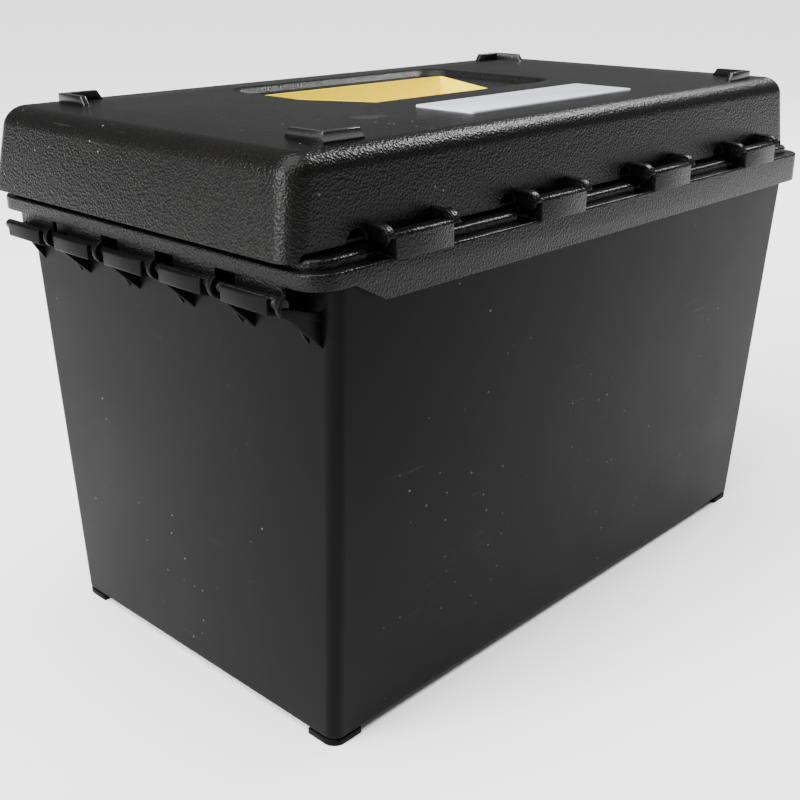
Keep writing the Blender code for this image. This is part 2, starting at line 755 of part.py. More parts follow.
def make_lid(material):
    bm = bmesh.new()
    tapered_block(bm, lid_outline(lid_bottom), lid_outline(lid_top), lid_bottom, lid_top, lid_corner)
    round_edges(bm, level_edges(bm, lid_top), lid_top_round, arc_steps)
    lid = solid("lid", bm, box_parts, (0, hinge_y, hinge_z), material)
    bm = bmesh.new()
    under = lid_bottom - cut_overrun
    ceiling = lid_top - lid_top_wall
    tapered_block(bm, lid_outline(under, lid_wall), lid_outline(ceiling, lid_wall), under, ceiling,
                  lid_corner - lid_wall)
    round_edges(bm, level_edges(bm, ceiling), lid_top_round - lid_wall, arc_steps)
    cut(lid, "lid_hollow", bm)
    bm = bmesh.new()
    relief = coaming_outline()[1] + lid_rear_relief_gap
    level = lip_height + lid_rear_groove
    outline = arc((relief - relief_round, level - relief_round), relief_round, 0, math.pi / 2)
    outline += arc((relief_round - relief, level - relief_round), relief_round, math.pi / 2, math.pi)
    outline += [(-relief, under), (relief, under)]
    prism(bm, outline, "Y", lid_rear_y - cut_overrun, lid_rear_y + lid_corner)
    cut(lid, "rear_relief", bm)
    stop_rib(lid)
    bm = bmesh.new()
    outline = coaming_outline()
    rib_inner = (outline[0] + stop_rib_width, outline[1] - stop_rib_width,
                 outline[2] + coaming_rear_width - stop_rib_width / 2, outline[3] - stop_rib_width)
    rib_top = coaming_top + seat_gap + stop_rib_height + seat_gap
    block(bm, rib_inner, under, rib_top, coaming_corner - coaming_wall)
    cut(lid, "stop_rib_opening", bm)
    cut(lid, "rear_arches", rear_arches())
    add(lid, "lid_ears", lid_ears())
    cut(lid, "ear_hollows", ear_hollows())
    pad_low = recess_level - recess_floor
    bm = bmesh.new()
    pad = (-recess_length / 2 - recess_margin, recess_length / 2 + recess_margin,
           recess_rear_y - recess_margin, recess_front_y + recess_margin)
    block(bm, pad, pad_low, lid_top - lid_top_wall / 2, recess_corner)
    add(lid, "recess_pad", bm)
    bm = bmesh.new()
    recess = inset(pad, recess_margin)
    tapered_block(bm, inset(recess, recess_slope), recess, recess_level, lid_top, recess_corner)
    cut(lid, "recess", bm)
    bm = bmesh.new()
    cup_block(bm, 0, pad_low - cut_overrun, recess_level + cut_overrun, cup_corner)
    cut(lid, "cup_opening", bm)
    bm = bmesh.new()
    block(bm, label_bounds(seat_gap), lid_top - label_sink, lid_top + cut_overrun, label_corner)
    cut(lid, "label_pocket", bm)
    add(lid, "corner_bosses", corner_bosses())
    bm = bmesh.new()
    for start in knuckle_starts():
        ends = ear_side_gap + ear_web / 2 + seat_gap
        middle = (hinge_y, hinge_z)
        bore = pin_radius + pin_clearance
        rod(bm, "X", start - ends, start + knuckle_length + ends, middle, bore)
    cut(lid, "ear_bores", bm)
    return lid


# Pieces carried by the lid
def label_bounds(outward=0):
    return (-label_length / 2 - outward, label_length / 2 + outward,
            label_rear_y - outward, label_rear_y + label_width + outward)


def make_label(material):
    bm = bmesh.new()
    foot = lid_top - label_sink + seat_gap
    block(bm, label_bounds(), foot, foot + label_thickness, label_corner)
    return solid("label_plate", bm, box_parts, (0, label_rear_y, foot), material)


def make_cup(material):
    """The cup lines the keystone opening and is held by a flange under the recess floor."""
    low = recess_level - cup_depth
    flange_top = recess_level - recess_floor - seat_gap
    bm = bmesh.new()
    cup_block(bm, seat_gap, low, recess_level, cup_corner)
    cup = solid("accessory_cup", bm, box_parts, (0, recess_rear_y, recess_level), material)
    bm = bmesh.new()
    cup_block(bm, -cup_flange, flange_top - cup_wall, flange_top, cup_corner + cup_flange)
    add(cup, "cup_flange", bm)
    bm = bmesh.new()
    cup_block(bm, seat_gap + cup_wall, low + cup_wall, recess_level + cut_overrun, cup_corner - cup_wall)
    cut(cup, "cup_hollow", bm)
    return cup


def make_pins(material):
    pins = []
    for number, start in enumerate(knuckle_starts(), 1):
        ends = ear_side_gap + ear_web / 2
        bm = bmesh.new()
        rod(bm, "X", start - ends, start + knuckle_length + ends, (hinge_y, hinge_z), pin_radius)
        middle = start + knuckle_length / 2
        pins.append(solid(f"lid_hinge_pin_{number}", bm, box_parts, (middle, hinge_y, hinge_z), material))
    return pins


def carry(parent, child):
    child.parent = parent
    child.location = child.location - world_place(parent)


def world_place(item):
    return item.location + (world_place(item.parent) if item.parent else Vector((0, 0, 0)))


smooth_black = plastic("smooth_black_plastic", (0.045, 0.045, 0.047), 0.42)
grained_black = plastic("grained_black_plastic", (0.035, 0.034, 0.032), 0.6)
grained_lid = plastic("grained_lid_plastic", (0.04, 0.039, 0.036), 0.58)
yellow = plastic("yellow_plastic", (0.85, 0.72, 0.06), 0.4)
silver = plastic("silver_label", (0.62, 0.64, 0.71), 0.35)
steel = plastic("steel_pin", (0.55, 0.55, 0.55), 0.3)
steel.node_tree.nodes["Principled BSDF"].inputs["Metallic"].default_value = 1

tub = make_tub(smooth_black)
tray = make_tray(grained_black)
lid = make_lid(grained_lid)
label = make_label(silver)
cup = make_cup(yellow)
pins = make_pins(steel)
dividers = make_dividers(grained_black)

carry(tray, lid)
for piece in pins + dividers:
    carry(tray, piece)
for piece in (label, cup):
    carry(lid, piece)

for item in list(box_parts.objects) + list(cutter_parts.objects):
    if not item.parent:
        item.location += to_row_origin

bpy.context.view_layer.update()
for pin in pins:
    pin.data.shade_smooth()
    pin.data.set_sharp_from_angle(angle=math.radians(40))
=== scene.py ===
import math

import bmesh
import bpy
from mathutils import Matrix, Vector


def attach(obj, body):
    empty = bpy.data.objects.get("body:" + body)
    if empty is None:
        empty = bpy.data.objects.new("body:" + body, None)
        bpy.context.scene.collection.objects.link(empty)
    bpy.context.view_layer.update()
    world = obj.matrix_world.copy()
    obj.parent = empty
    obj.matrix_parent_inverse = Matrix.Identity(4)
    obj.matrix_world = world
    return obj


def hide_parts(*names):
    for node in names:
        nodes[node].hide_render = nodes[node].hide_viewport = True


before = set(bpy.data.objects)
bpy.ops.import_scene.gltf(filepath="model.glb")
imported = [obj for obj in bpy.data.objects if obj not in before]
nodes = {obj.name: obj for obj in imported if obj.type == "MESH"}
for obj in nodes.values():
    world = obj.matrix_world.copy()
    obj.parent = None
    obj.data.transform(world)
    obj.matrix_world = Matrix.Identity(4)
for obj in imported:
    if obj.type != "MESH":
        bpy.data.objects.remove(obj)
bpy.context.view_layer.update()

# Sizes of the box, in metres
tiny = 0.00005
level_normal = 0.9999
merge_distance = 0.000002
sunk = 0.0004
cutter_over = 0.001
rail_soft = 0.0003
thin_soft = 0.0002
tongue_soft = 0.0001
corner_soft = 0.0004

tub_base_half = (0.1847, 0.10415)
tub_draft = (0.0155, 0.0505)
tub_wall = 0.0026
tub_corner = 0.0065
base_round = 0.0025
foot_height = 0.003
foot_leg = 0.018
foot_width = 0.009
skid_cutter_over = 0.005
rim_level = 0.2292

lip_height = 0.232
lip_half = (0.201503, 0.119224)
lip_corner = 0.013
lip_edge_round = 0.0011
skirt_wall = 0.0023
skirt_foot = 0.216
shallow_foot = 0.2252
cutback_inset = 0.0378
cutback_run = 0.0171
cutback_low = 0.2
cutback_over = 0.01
cutback_half_width = 0.15
basin_low = (-0.178553, 0.178553, -0.097025, 0.103025)
basin_high = (-0.181553, 0.181553, -0.100025, 0.106025)
basin_floor = 0.1925
basin_rim = 0.2298
basin_floor_round = 0.0018
basin_corner = 0.008
basin_wall = 0.002
mouth_low = 0.22
basin_mouth_high = 0.24
coaming_mouth_high = 0.25
coaming_top = 0.236
coaming_wall = 0.0026
coaming_rear_width = 0.0115
coaming_corner = 0.011
coaming_round = 0.0018
coaming = (-0.197003, 0.197003, -0.113424, 0.116924)

hinge = (-0.113424, 0.2391)
ear_radius = 0.0058
ear_hood_wall = 0.0013
ear_hood_turn = 170
ear_tongue_radius = 0.0033
ear_length = 0.0042
ear_web = 0.0014
ear_gap = 0.0004
ear_notch = 0.0052
ear_notch_gap = 0.00125
ear_notch_floor = 0.2301
ear_slot_length = 0.011
ear_slot_width = 0.0102
ear_slot_inset = 0.0024
ear_slot_gap = 0.0003
knuckle_length = 0.0345
knuckle_pitch = 0.095391
knuckle_starts = [0.0025 + knuckle_pitch * (i - 1.5) - knuckle_length / 2 for i in range(4)]
knuckle_top_rise = 0.0027
knuckle_brow = 0.0018
knuckle_foot = 0.2308
pin_bore = 0.0017

rail = (-0.205153, 0.2194)
rail_pitch = 0.041707
rail_shift = -0.0016
trough_length = 0.0286
bore_radius = 0.0026
trough_wall = 0.0016
floor_turn = 14
face_rise = 0.0026
face_drop = 0.0046
face_round = 0.001
trough_lip_turn = 132
rib_thickness = 0.0024
rib_wall = 0.0023
rib_lip_turn = 106
gusset_thickness = 0.0016
gusset_foot = 0.0211
gusset_reach = 0.0095
web_reach = 0.016
end_wall_thickness = 0.0018
end_wall_reach = 0.0017
end_wall_height = 0.0037
tooth_foot = 0.0018
tooth_link = 0.0028
bead_end_gap = 0.0005
bead_play = 0.0002

lid_bottom = 0.2345
lid_top = 0.276
lid_low = (-0.204003, 0.204003, -0.107024, 0.121724)
lid_high = (-0.198003, 0.198003, -0.104524, 0.114224)
lid_corner = 0.011
lid_round = 0.0095
lid_wall = 0.0025
lid_top_wall = 0.0028
crown_drop = 0.0007
crown_reach = 0.02
rear_wall_foot = 0.238
relief_gap = 0.0005
relief_round = 0.003
relief_depth = 0.012
arch_radius = 0.0055
arch_depth = 0.0062
lid_cut_foot = 0.23
stop_rib_low = coaming_top + 0.0003
stop_rib_high = coaming_top + 0.0033
stop_rib_level = coaming_top + 0.003
stop_rib_width = 0.004
stop_rib_rear_width = 0.002
stop_rib_mouth_high = 0.245
stop_rib_relief_over = 0.005
stop_rib_relief_reach = 0.0045
recess_level = 0.2725
recess = (-0.083993, 0.083993, -0.017009, 0.081975)
recess_corner = 0.012
recess_slope = 0.003
recess_rim_round = 0.0014
recess_margin = 0.004
recess_pad_low = 0.2699
cup_rear_y = -0.010009
cup_front_y = 0.068974
cup_rear_half = 0.038972
cup_front_half = 0.079961
cup_corner = 0.004
cup_wall = 0.0014
cup_foot = 0.2415
cup_gap = 0.0003
cup_foot_round = 0.0012
flange_low = 0.2682
flange_high = 0.2696
flange_reach = 0.003
flange_lap = 0.0008
flange_cutter_low = 0.266
flange_cutter_high = 0.272
label = (-0.066507, 0.066507, -0.080174, -0.043183)
label_corner = 0.0025
label_foot = 0.2757
label_top = 0.2769
label_rim_round = 0.0003
pocket_gap = 0.0003
pocket_floor = 0.2754
pocket_high = 0.278
boss_corner = (0.172503, -0.093474, 0.099474)
boss_arm = 0.024
boss_slope = 0.0035
boss_wall = 0.003
boss_height = 0.004
boss_sink = 0.0012
box_shift = Vector((0.003025, -0.00125, 0))


# Modelling steps
def take(piece):
    bpy.ops.object.select_all(action="DESELECT")
    piece.select_set(True)
    bpy.context.view_layer.objects.active = piece


def settle(piece):
    take(piece)
    bpy.ops.object.transform_apply(location=True, rotation=True, scale=True)
    return piece


def add_block(name, bounds, low, high):
    bpy.ops.object.select_all(action="DESELECT")
    middle = ((bounds[0] + bounds[1]) / 2, (bounds[2] + bounds[3]) / 2, (low + high) / 2)
    bpy.ops.mesh.primitive_cube_add(size=1, location=middle)
    piece = bpy.context.active_object
    piece.name = name
    piece.scale = (bounds[1] - bounds[0], bounds[3] - bounds[2], high - low)
    return settle(piece)


def pick(piece, kind, wanted):
    take(piece)
    bpy.ops.object.mode_set(mode="EDIT")
    bpy.ops.mesh.select_mode(type=kind)
    bpy.ops.mesh.select_all(action="DESELECT")
    mesh = bmesh.from_edit_mesh(piece.data)
    items = {"VERT": mesh.verts, "EDGE": mesh.edges, "FACE": mesh.faces}[kind]
    for item in items:
        if wanted(item):
            item.select_set(True)
    mesh.select_flush_mode()
    bmesh.update_edit_mesh(piece.data)


def leave():
    bpy.ops.object.mode_set(mode="OBJECT")


def upright(edge):
    return abs(edge.verts[0].co.z - edge.verts[1].co.z) > tiny


def rim_at(level):
    return lambda edge: (all(abs(v.co.z - level) < tiny for v in edge.verts)
                         and any(abs(f.normal.z) < 0.9 for f in edge.link_faces)
                         and any(abs(f.normal.z) > 0.9 for f in edge.link_faces))


def round_edges(piece, wanted, radius, steps):
    pick(piece, "EDGE", wanted)
    bpy.ops.mesh.bevel(offset_type="OFFSET", offset=radius, segments=steps, profile=0.5, affect="EDGES")
    leave()


def draw_in(piece, level, bounds):
    """Moves the outline at a level to new bounds, so the sides slope."""
    pick(piece, "VERT", lambda v: abs(v.co.z - level) < tiny)
    places = [v.co.copy() for v in bmesh.from_edit_mesh(piece.data).verts if v.select]
    x = (min(p.x for p in places), max(p.x for p in places))
    y = (min(p.y for p in places), max(p.y for p in places))
    middle = ((x[0] + x[1]) / 2, (y[0] + y[1]) / 2, level)
    growth = ((bounds[1] - bounds[0]) / (x[1] - x[0]), (bounds[3] - bounds[2]) / (y[1] - y[0]), 1)
    bpy.ops.transform.resize(value=growth, center_override=middle)
    move = ((bounds[0] + bounds[1]) / 2 - middle[0], (bounds[2] + bounds[3]) / 2 - middle[1], 0)
    bpy.ops.transform.translate(value=move)
    leave()


def sloped_block(name, low_bounds, high_bounds, low, high, corner, steps=8):
    piece = add_block(name, low_bounds, low, high)
    draw_in(piece, high, high_bounds)
    if corner:
        round_edges(piece, upright, corner, steps)
    return piece


def inward(bounds, by):
    return (bounds[0] + by, bounds[1] - by, bounds[2] + by, bounds[3] - by)


def arc(centre, radius, start, end, steps=10):
    turns = [math.radians(start + (end - start) * i / steps) for i in range(steps + 1)]
    return [(centre[0] + radius * math.cos(t), centre[1] + radius * math.sin(t)) for t in turns]


def ring(centre, radius, points=24):
    return arc(centre, radius, 0, 360 - 360 / points, points - 1)


def add_bar(name, outline, along, start, length, soft=0.0):
    """A flat outline across an axis, drawn as a closed line and pushed along the axis with softened rims."""
    line = bpy.data.curves.new(name, "CURVE")
    line.dimensions = "2D"
    line.fill_mode = "BOTH"
    line.extrude = length / 2 - soft
    line.bevel_depth = soft
    line.bevel_resolution = 1
    line.offset = -soft
    points = line.splines.new("POLY")
    points.points.add(len(outline) - 1)
    for point, place in zip(points.points, outline):
        point.co = (place[0], place[1], 0, 1)
    points.use_cyclic_u = True
    piece = bpy.data.objects.new(name, line)
    bpy.context.scene.collection.objects.link(piece)
    take(piece)
    bpy.ops.object.convert(target="MESH")
    piece = bpy.context.active_object
    middle = start + length / 2
    if along == "X":
        piece.rotation_euler = (math.pi / 2, 0, math.pi / 2)
        piece.location = (middle, 0, 0)
    if along == "Y":
        piece.rotation_euler = (math.pi / 2, 0, 0)
        piece.location = (0, middle, 0)
    if along == "Z":
        piece.location = (0, 0, middle)
    settle(piece)
    pick(piece, "VERT", lambda v: True)
    bpy.ops.mesh.remove_doubles(threshold=merge_distance)
    bpy.ops.mesh.normals_make_consistent(inside=False)
    leave()
    return piece


def copies(piece, name, moves):
    """Further copies of a piece, each with its own mesh, moved from where the first one stands."""
    made = [piece]
    for number, move in enumerate(moves, 2):
        take(piece)
        bpy.ops.object.duplicate(linked=False)
        twin = bpy.context.active_object
        twin.name = f"{name}_{number}"
        twin.location = move
        made.append(settle(twin))
    piece.name = f"{name}_1"
    return made


def combine(piece, tool, operation):
    take(piece)
    step = piece.modifiers.new("combine", "BOOLEAN")
    step.operation = operation
    step.solver = "EXACT"
    step.object = tool
    bpy.ops.object.modifier_apply(modifier=step.name)
    bpy.data.objects.remove(tool, do_unlink=True)


def carve(piece, tool):
    combine(piece, tool, "DIFFERENCE")


def weld(piece, tool):
    combine(piece, tool, "UNION")


def thicken(piece, thickness):
    take(piece)
    step = piece.modifiers.new("wall", "SOLIDIFY")
    step.thickness = thickness
    step.offset = -1
    step.use_even_offset = True
    bpy.ops.object.modifier_apply(modifier=step.name)


def soften(piece, width, steps=2, turn=40):
    take(piece)
    step = piece.modifiers.new("soft_edges", "BEVEL")
    step.width = width
    step.segments = steps
    step.limit_method = "ANGLE"
    step.angle_limit = math.radians(turn)
    step.use_clamp_overlap = False
    bpy.ops.object.modifier_apply(modifier=step.name)


def open_top(piece, level):
    pick(piece, "FACE", lambda f: abs(f.normal.z) > 0.9 and abs(f.calc_center_median().z - level) < tiny)
    bpy.ops.mesh.delete(type="FACE")
    leave()


def finish(piece, body, material, smooth=35):
    take(piece)
    bpy.ops.object.shade_smooth_by_angle(angle=math.radians(smooth))
    piece.location = box_shift
    settle(piece)
    piece.data.materials.clear()
    piece.data.materials.append(material)
    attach(piece, body)
    return piece


def tub_outline(level, by=0.0):
    half_x = tub_base_half[0] + tub_draft[0] * level - by
    half_y = tub_base_half[1] + tub_draft[1] * level - by
    return (-half_x, half_x, -half_y, half_y)


def rail_places(count):
    return [rail_shift + rail_pitch * (i - (count - 1) / 2) for i in range(count)]


# Tub
def make_tub_shell():
    shell = sloped_block("tub_shell", tub_outline(foot_height), tub_outline(rim_level),
                         foot_height, rim_level, tub_corner, 8)
    round_edges(shell, rim_at(foot_height), base_round, 4)
    open_top(shell, rim_level)
    thicken(shell, tub_wall)
    return shell


def make_tub_skids():
    """L-shaped skids under the corners."""
    base = tub_outline(0)
    skids = add_block("tub_skids", base, 0, foot_height + sunk)
    round_edges(skids, upright, tub_corner, 8)
    over = skid_cutter_over
    across = (base[0] + foot_leg, base[1] - foot_leg, base[2] - over, base[3] + over)
    along = (base[0] - over, base[1] + over, base[2] + foot_leg, base[3] - foot_leg)
    carve(skids, add_block("gap_across", across, -over, over))
    carve(skids, add_block("gap_along", along, -over, over))
    carve(skids, add_block("skid_hollow", inward(base, foot_width), -over, over))
    soften(skids, corner_soft)
    return skids


def rail_floor(radius, at_x):
    turn = math.radians(-90 - floor_turn)
    touch = (rail[0] + radius * math.cos(turn), rail[1] + radius * math.sin(turn))
    return touch[1] - (at_x - touch[0]) * math.tan(math.radians(floor_turn))


def rail_underside(at_x):
    heel_x = rail[0] - bore_radius - trough_wall + face_round
    return rail[1] - face_drop - (at_x - heel_x) * math.tan(math.radians(floor_turn))


def make_troughs():
    wall_x = sunk - tub_outline(rim_level)[1]
    face_x = rail[0] - bore_radius - trough_wall
    outline = arc((face_x + face_round, rail[1] + face_rise - face_round), face_round, 90, 180, 4)
    outline += arc((face_x + face_round, rail[1] - face_drop + face_round), face_round,
                   180, 270 - floor_turn, 4)
    outline += [(wall_x, rail_underside(wall_x)), (wall_x, rail_floor(bore_radius, wall_x))]
    outline += arc(rail, bore_radius, 270 - floor_turn, trough_lip_turn, 12)
    places = rail_places(5)
    trough = add_bar("rail_trough", outline, "Y", places[0] - trough_length / 2, trough_length, rail_soft)
    return copies(trough, "rail_trough", [(0, place - places[0], 0) for place in places[1:]])


def make_hook_ribs():
    wall_x = sunk - tub_outline(rim_level)[1]
    web_x = -tub_outline(rim_level)[1] - web_reach
    outline = arc(rail, bore_radius + rib_wall, rib_lip_turn, 270 - floor_turn, 14)
    outline += [(web_x, rail_underside(web_x)), (wall_x, rail[1] - gusset_foot),
                (wall_x, rail_floor(bore_radius, wall_x) - sunk)]
    outline += arc(rail, bore_radius, 270 - floor_turn, rib_lip_turn, 14)
    places = rail_places(6)[:-1]
    rib = add_bar("hook_rib", outline, "Y", places[0] - rib_thickness / 2, rib_thickness, rail_soft)
    return copies(rib, "hook_rib", [(0, place - places[0], 0) for place in places[1:]])


def make_gussets():
    wall_x = sunk - tub_outline(rim_level)[1]
    reach_x = wall_x - gusset_reach
    outline = [(reach_x, rail_underside(reach_x) + trough_wall / 2), (wall_x, rail[1] - gusset_foot),
               (wall_x, rail_underside(wall_x) + trough_wall / 2)]
    places = [place - trough_length / 2 + sunk for place in rail_places(5)]
    places.append(rail_places(6)[-1])
    gusset = add_bar("rail_gusset", outline, "Y", places[0], gusset_thickness, thin_soft)
    return copies(gusset, "rail_gusset", [(0, place - places[0], 0) for place in places[1:]])


def make_rail_end():
    wall_x = sunk - tub_outline(rim_level)[1]
    outer_x = rail[0] - bore_radius - trough_wall
    outline = [(outer_x, rail[1]), (outer_x, rail[1] - end_wall_height), (wall_x, rail_underside(wall_x)),
               (wall_x, rail_underside(wall_x) + end_wall_height)]
    start = rail_shift - rail_pitch * 5 / 2 - end_wall_reach
    return add_bar("rail_end", outline, "Y", start, end_wall_thickness, rail_soft)


# Collar and basin
def make_collar():
    """Flat lip with a turned-down skirt, cut back to a shallow flange toward the knuckle rail."""
    lip = (-lip_half[0], lip_half[0], -lip_half[1], lip_half[1])
    collar = add_block("tray_collar", lip, skirt_foot, lip_height)
    round_edges(collar, upright, lip_corner, 10)
    round_edges(collar, rim_at(lip_height), lip_edge_round, 4)
    open_top(collar, skirt_foot)
    thicken(collar, skirt_wall)
    deep_x = cutback_inset - lip_half[0]
    shallow_x = deep_x - cutback_run
    out_x = -lip_half[0] - cutback_over
    outline = [(deep_x, cutback_low), (deep_x, skirt_foot), (shallow_x, shallow_foot),
               (out_x, shallow_foot), (out_x, cutback_low)]
    carve(collar, add_bar("skirt_cutback", outline, "Y", -cutback_half_width, 2 * cutback_half_width))
    mouth = inward(basin_high, basin_wall)
    carve(collar, sloped_block("basin_mouth", mouth, mouth, mouth_low, basin_mouth_high,
                               basin_corner - basin_wall))
    return collar


def make_coaming():
    bead = add_block("tray_coaming", coaming, lip_height - sunk, coaming_top)
    round_edges(bead, upright, coaming_corner, 10)
    round_edges(bead, rim_at(coaming_top), coaming_round, 6)
    inner = (coaming[0] + coaming_wall, coaming[1] - coaming_wall, coaming[2] + coaming_rear_width,
             coaming[3] - coaming_wall)
    mouth = sloped_block("coaming_mouth", inner, inner, mouth_low, coaming_mouth_high,
                         coaming_corner - coaming_wall)
    carve(bead, mouth)
    rear = -lip_half[1] - cutter_over
    notch_y = coaming[2] + ear_radius + ear_notch_gap
    for start in knuckle_starts:
        end = start + knuckle_length
        bounds = (start - ear_notch, end + ear_notch, rear, notch_y)
        carve(bead, add_block("ear_notch", bounds, ear_notch_floor, coaming_mouth_high))
    return bead


def cut_ear_slots(piece):
    slot_y = ear_slot_inset - lip_half[1]
    for start in knuckle_starts:
        bounds = (start - ear_slot_length, start - ear_slot_gap, slot_y, slot_y + ear_slot_width)
        carve(piece, add_block("ear_slot", bounds, skirt_foot, coaming_mouth_high))


def make_basin():
    bowl = sloped_block("tray_basin", basin_low, basin_high, basin_floor, basin_rim, basin_corner, 8)
    round_edges(bowl, rim_at(basin_floor), basin_floor_round, 3)
    open_top(bowl, basin_rim)
    thicken(bowl, basin_wall)
    return bowl


def make_knuckles():
    front_y = hinge[0] - ear_radius
    brow = (front_y + knuckle_brow, hinge[1] + knuckle_top_rise - knuckle_brow)
    outline = arc(brow, knuckle_brow, 180, 90, 8)
    outline += arc(hinge, knuckle_top_rise, 90, 0, 8)
    outline += [(hinge[0] + knuckle_top_rise, knuckle_foot), (front_y, knuckle_foot)]
    knuckle = add_bar("lid_knuckle", outline, "X", knuckle_starts[0], knuckle_length, thin_soft)
    carve(knuckle, add_bar("knuckle_bore", ring(hinge, pin_bore), "X", knuckle_starts[0] - cutter_over,
                           knuckle_length + 2 * cutter_over))
    return copies(knuckle, "lid_knuckle", [(start - knuckle_starts[0], 0, 0) for start in knuckle_starts[1:]])


def make_hook_teeth():
    outer_x = -lip_half[0]
    inner_x = outer_x + skirt_wall
    foot = rail[1] - tooth_foot
    outline = [(outer_x, shallow_foot + sunk), (outer_x, foot + tooth_link), (rail[0], foot + tooth_link),
               (rail[0], foot), (inner_x, foot), (inner_x, shallow_foot + sunk)]
    places = rail_places(5)
    tooth = add_bar("hook_tooth", outline, "Y", places[0] - trough_length / 2, trough_length, thin_soft)
    return copies(tooth, "hook_tooth", [(0, place - places[0], 0) for place in places[1:]])


def make_hinge_bead():
    half = rail_pitch * 5 / 2 + end_wall_reach - end_wall_thickness - bead_end_gap
    outline = ring(rail, bore_radius - bead_play)
    return add_bar("hinge_bead", outline, "Y", rail_shift - half, half * 2, rail_soft)


# Lid
def lid_bounds(level, by=0.0):
    share = (level - lid_bottom) / (lid_top - lid_bottom)
    return tuple(low + (high - low) * share + (by if side % 2 == 0 else -by)
                 for side, (low, high) in enumerate(zip(lid_low, lid_high)))


def cup_outline(by=0.0):
    lean = (cup_front_half - cup_rear_half) / (cup_front_y - cup_rear_y)
    side = by * math.hypot(1, lean)
    rear = cup_rear_half - side + lean * by
    front = cup_front_half - side - lean * by
    return [(-rear, cup_rear_y + by), (rear, cup_rear_y + by),
            (front, cup_front_y - by), (-front, cup_front_y - by)]


def cup_block(name, by, low, high, corner):
    """A cube whose four upright edges are moved to the corners of the keystone outline."""
    places = cup_outline(by)
    block = add_block(name, (-cup_front_half, cup_front_half, cup_rear_y + by, cup_front_y - by), low, high)
    pick(block, "VERT", lambda v: v.co.y < 0)
    bpy.ops.transform.resize(value=(places[1][0] / cup_front_half, 1, 1), center_override=(0, 0, 0))
    leave()
    pick(block, "VERT", lambda v: v.co.y > 0)
    bpy.ops.transform.resize(value=(places[2][0] / cup_front_half, 1, 1), center_override=(0, 0, 0))
    leave()
    round_edges(block, upright, corner, 6)
    return block


def cut_rear_wall(shell):
    """Clears the rear wall over the knuckles, with a half-round arch outboard of each ear."""
    relief = coaming[1] + relief_gap
    outline = arc((relief - relief_round, rear_wall_foot - relief_round), relief_round, 0, 90, 8)
    outline += arc((relief_round - relief, rear_wall_foot - relief_round), relief_round, 90, 180, 8)
    outline += [(-relief, lid_cut_foot), (relief, lid_cut_foot)]
    carve(shell, add_bar("rear_relief", outline, "Y", lid_low[2] - cutter_over, relief_depth))
    for start in knuckle_starts:
        for middle in (start - ear_gap - ear_length - arch_radius,
                       start + knuckle_length + ear_gap + ear_length + arch_radius):
            outline = arc((middle, rear_wall_foot), arch_radius, 0, 180, 16)
            outline += [(middle - arch_radius, lid_cut_foot), (middle + arch_radius, lid_cut_foot)]
            carve(shell, add_bar("rear_arch", outline, "Y", lid_low[2] - cutter_over, arch_depth))


def make_lid_shell():
    shell = sloped_block("lid_shell", lid_low, lid_high, lid_bottom, lid_top - crown_drop, lid_corner, 12)
    round_edges(shell, rim_at(lid_top - crown_drop), lid_round, 12)
    pick(shell, "FACE", lambda f: f.normal.z > level_normal)
    bpy.ops.mesh.extrude_region_move(TRANSFORM_OT_translate={"value": (0, 0, crown_drop)})
    flat_half = (lid_high[1] - lid_round, (lid_high[3] - lid_high[2]) / 2 - lid_round)
    bpy.ops.transform.resize(value=(1 - crown_reach / flat_half[0], 1 - crown_reach / flat_half[1], 1),
                             center_override=(0, (lid_high[2] + lid_high[3]) / 2, lid_top))
    leave()
    foot = lid_bottom - cutter_over
    ceiling = lid_top - lid_top_wall
    hollow = sloped_block("lid_hollow", lid_bounds(foot, lid_wall), lid_bounds(ceiling, lid_wall),
                          foot, ceiling, lid_corner - lid_wall)
    round_edges(hollow, rim_at(ceiling), lid_round - lid_wall, 5)
    carve(shell, hollow)
    cut_rear_wall(shell)
    pad = add_block("recess_pad", (recess[0] - recess_margin, recess[1] + recess_margin,
                                   recess[2] - recess_margin, recess[3] + recess_margin),
                    recess_pad_low, lid_top - lid_top_wall / 2)
    round_edges(pad, upright, recess_corner, 8)
    weld(shell, pad)
    mouth = inward(recess, -cutter_over * recess_slope / (lid_top - recess_level))
    dish = sloped_block("recess_dish", inward(recess, recess_slope), mouth, recess_level,
                        lid_top + cutter_over, recess_corner, 10)
    carve(shell, dish)
    round_edges(shell, rim_at(lid_top), recess_rim_round, 4)
    carve(shell, cup_block("cup_opening", 0, recess_pad_low - cutter_over, recess_level + cutter_over,
                           cup_corner))
    return shell


def make_label_pocket(shell):
    pocket = add_block("label_pocket", inward(label, -pocket_gap), pocket_floor, pocket_high)
    round_edges(pocket, upright, label_corner, 6)
    carve(shell, pocket)


def make_stop_rib():
    rib = add_block("stop_rib", lid_bounds(stop_rib_level, lid_wall / 2), stop_rib_low, stop_rib_high)
    round_edges(rib, upright, lid_corner - lid_wall / 2, 8)
    inner = (coaming[0] + stop_rib_width, coaming[1] - stop_rib_width,
             coaming[2] + coaming_rear_width - stop_rib_rear_width, coaming[3] - stop_rib_width)
    mouth = add_block("stop_rib_mouth", inner, lid_cut_foot, stop_rib_mouth_high)
    round_edges(mouth, upright, coaming_corner - coaming_wall, 8)
    carve(rib, mouth)
    relief = coaming[1] + relief_gap
    bounds = (-relief, relief, lid_low[2] - stop_rib_relief_over, lid_low[2] + stop_rib_relief_reach)
    carve(rib, add_block("stop_rib_relief", bounds, lid_cut_foot, rear_wall_foot))
    return rib


